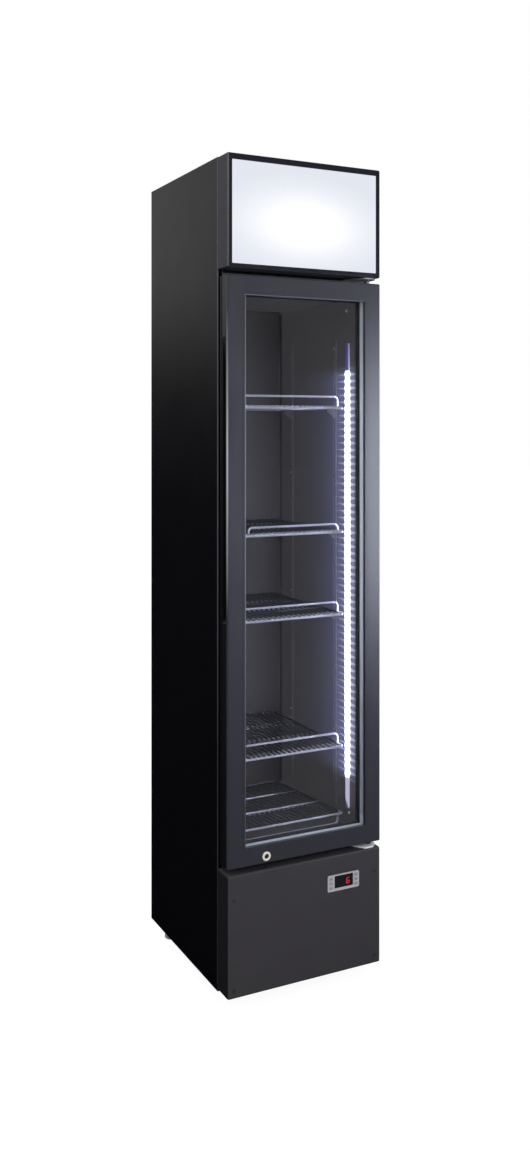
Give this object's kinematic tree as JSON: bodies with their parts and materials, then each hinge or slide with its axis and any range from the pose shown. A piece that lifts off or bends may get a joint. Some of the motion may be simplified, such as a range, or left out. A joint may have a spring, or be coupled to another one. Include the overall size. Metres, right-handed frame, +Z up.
{
  "type": "commercial refrigerated cabinet",
  "caption": "Tall slim display refrigerator with a lit header, one hinged glass door, wire shelves on clips, a light bar and a machine compartment behind a base cover with a controller.",
  "frame": {"origin": "on the floor, under the middle of the bounding box", "axes": "+Z up, the door faces -Y, +X is to the right seen from the front"},
  "size_m": [0.36, 0.431, 1.73],
  "materials": {
    "black_enamel_sheet": "gloss",
    "charcoal_enamel_sheet": "satin",
    "charcoal_door_frame": "satin",
    "black_bezel": "satin",
    "zinc_coated_steel": "satin",
    "charcoal_moulded_plastic": "satin",
    "white_reflector": "satin",
    "opal_acrylic": "satin",
    "rigid_foam": "matte",
    "aluminium": "satin",
    "clear_glass": "polished",
    "black_soft_vinyl": "matte",
    "chromed_wire": "polished",
    "bright_steel": "satin",
    "nickel_plated_brass": "polished",
    "light_grey_plastic": "satin",
    "key_silicone": "matte",
    "smoked_acrylic": "gloss",
    "clear_diffuser": "satin",
    "black_machine_enamel": "satin",
    "copper": "satin",
    "grey_plastic": "satin"
  },
  "bodies": {
    "cabinet": {"left_side_panel": "black_enamel_sheet", "right_side_panel": "black_enamel_sheet", "top_panel": "black_enamel_sheet", "back_panel": "zinc_coated_steel", "compressor_deck": "zinc_coated_steel", "inner_liner": "charcoal_moulded_plastic", "foam_insulation": "rigid_foam", "evaporator": "aluminium", "header_mount_plate": "zinc_coated_steel", "header_frame": "black_bezel", "header_light_panel": "opal_acrylic", "header_light_tray": "white_reflector", "header_led_board": "white_reflector", "led_driver": "aluminium", "upper_hinge_plate": "bright_steel", "lower_hinge_plate": "bright_steel", "base_cover": "charcoal_enamel_sheet", "controller_case": "light_grey_plastic", "controller_window": "smoked_acrylic", "shelf_1": "chromed_wire", "shelf_2": "chromed_wire", "shelf_3": "chromed_wire", "shelf_4": "chromed_wire", "bottom_rack": "chromed_wire", "shelf_support_front_left": "charcoal_moulded_plastic", "shelf_support_rear_left": "charcoal_moulded_plastic", "shelf_support_front_right": "charcoal_moulded_plastic", "shelf_support_rear_right": "charcoal_moulded_plastic", "light_bar_channel": "aluminium", "light_bar_strip": "white_reflector", "light_bar_cover": "clear_diffuser", "base_pan": "zinc_coated_steel", "compressor": "black_machine_enamel", "condenser": "aluminium", "fan_shroud": "zinc_coated_steel", "fan_motor": "black_machine_enamel", "drain_tray": "charcoal_moulded_plastic", "filter_drier": "copper", "rear_grille": "black_enamel_sheet"},
    "door": {"door_frame": "charcoal_door_frame", "outer_glass": "clear_glass", "inner_glass": "clear_glass", "glass_spacer": "aluminium", "glazing_bead": "charcoal_moulded_plastic", "door_gasket": "black_soft_vinyl", "hinge_spacer": "black_soft_vinyl", "lock_body": "nickel_plated_brass"},
    "lock": {"lock_plug": "bright_steel", "lock_cam": "bright_steel"},
    "fan": {"fan_blade": "grey_plastic"},
    "key_1": {"controller_key_1": "key_silicone"},
    "key_2": {"controller_key_2": "key_silicone"},
    "key_3": {"controller_key_3": "key_silicone"},
    "key_4": {"controller_key_4": "key_silicone"},
    "key_5": {"controller_key_5": "key_silicone"},
    "key_6": {"controller_key_6": "key_silicone"},
    "foot_front_left_body": {"foot_front_left": "grey_plastic"},
    "foot_front_right_body": {"foot_front_right": "grey_plastic"},
    "foot_rear_left_body": {"foot_rear_left": "grey_plastic"},
    "foot_rear_right_body": {"foot_rear_right": "grey_plastic"}
  },
  "joints": [
    {"name": "door_hinge", "type": "hinge", "parent": "cabinet", "child": "door", "pos_m": [0.162, -0.19, 0.293], "axis": [0, 0, 1], "range_deg": [0, 95]},
    {"name": "lock_turn", "type": "hinge", "parent": "door", "child": "lock", "pos_m": [-0.0936, -0.2125, 0.3078], "axis": [0, -1, 0], "range_deg": [0, 90]},
    {"name": "fan_spin", "type": "hinge", "parent": "cabinet", "child": "fan", "pos_m": [0.076, 0.1452, 0.1168], "axis": [0, 1, 0], "continuous": true},
    {"name": "key_1_press", "type": "slide", "parent": "cabinet", "child": "key_1", "axis": [0, 1, 0], "range_m": [0, 0.0008], "stiffness_N_per_m": 300},
    {"name": "key_2_press", "type": "slide", "parent": "cabinet", "child": "key_2", "axis": [0, 1, 0], "range_m": [0, 0.0008], "stiffness_N_per_m": 300},
    {"name": "key_3_press", "type": "slide", "parent": "cabinet", "child": "key_3", "axis": [0, 1, 0], "range_m": [0, 0.0008], "stiffness_N_per_m": 300},
    {"name": "key_4_press", "type": "slide", "parent": "cabinet", "child": "key_4", "axis": [0, 1, 0], "range_m": [0, 0.0008], "stiffness_N_per_m": 300},
    {"name": "key_5_press", "type": "slide", "parent": "cabinet", "child": "key_5", "axis": [0, 1, 0], "range_m": [0, 0.0008], "stiffness_N_per_m": 300},
    {"name": "key_6_press", "type": "slide", "parent": "cabinet", "child": "key_6", "axis": [0, 1, 0], "range_m": [0, 0.0008], "stiffness_N_per_m": 300},
    {"name": "foot_front_left_turn", "type": "hinge", "parent": "cabinet", "child": "foot_front_left_body", "pos_m": [-0.13, -0.1, 0], "axis": [0, 0, 1], "continuous": true},
    {"name": "foot_front_right_turn", "type": "hinge", "parent": "cabinet", "child": "foot_front_right_body", "pos_m": [0.13, -0.1, 0], "axis": [0, 0, 1], "continuous": true},
    {"name": "foot_rear_left_turn", "type": "hinge", "parent": "cabinet", "child": "foot_rear_left_body", "pos_m": [-0.15, 0.162, 0], "axis": [0, 0, 1], "continuous": true},
    {"name": "foot_rear_right_turn", "type": "hinge", "parent": "cabinet", "child": "foot_rear_right_body", "pos_m": [0.15, 0.162, 0], "axis": [0, 0, 1], "continuous": true}
  ]
}
